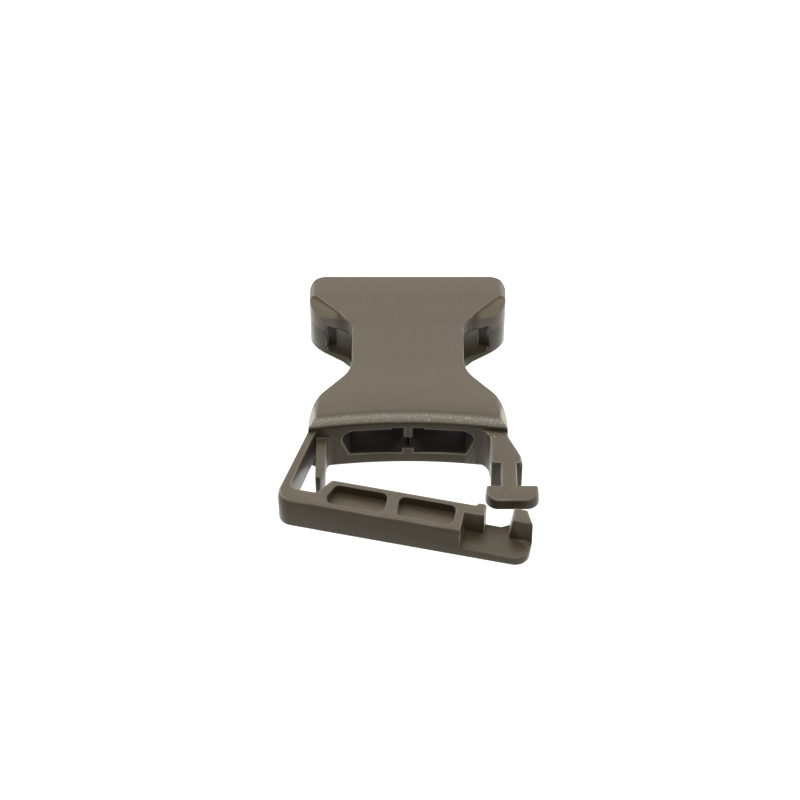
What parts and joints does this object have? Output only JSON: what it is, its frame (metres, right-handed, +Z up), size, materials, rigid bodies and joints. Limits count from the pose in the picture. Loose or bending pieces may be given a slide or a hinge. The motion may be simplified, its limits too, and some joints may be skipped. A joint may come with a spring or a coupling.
{
  "type": "side release buckle socket",
  "caption": "Hollow socket half of a side release buckle with finger windows, a split web bar on a flexing arm and a T-headed latch arm that closes it.",
  "frame": {"origin": "on the bottom face that it rests on, on the centre line, in the middle of the waist", "axes": "+Y towards the mouth that takes the plug, +X across the webbing, +Z up"},
  "size_m": [0.0445, 0.061, 0.0118],
  "materials": {
    "moulded_acetal": "injection moulded acetal in an olive brown-grey, with a fine spark-eroded grain and softly shining rounded edges"
  },
  "bodies": {
    "root": {"buckle_socket": "moulded_acetal"}
  },
  "joints": []
}
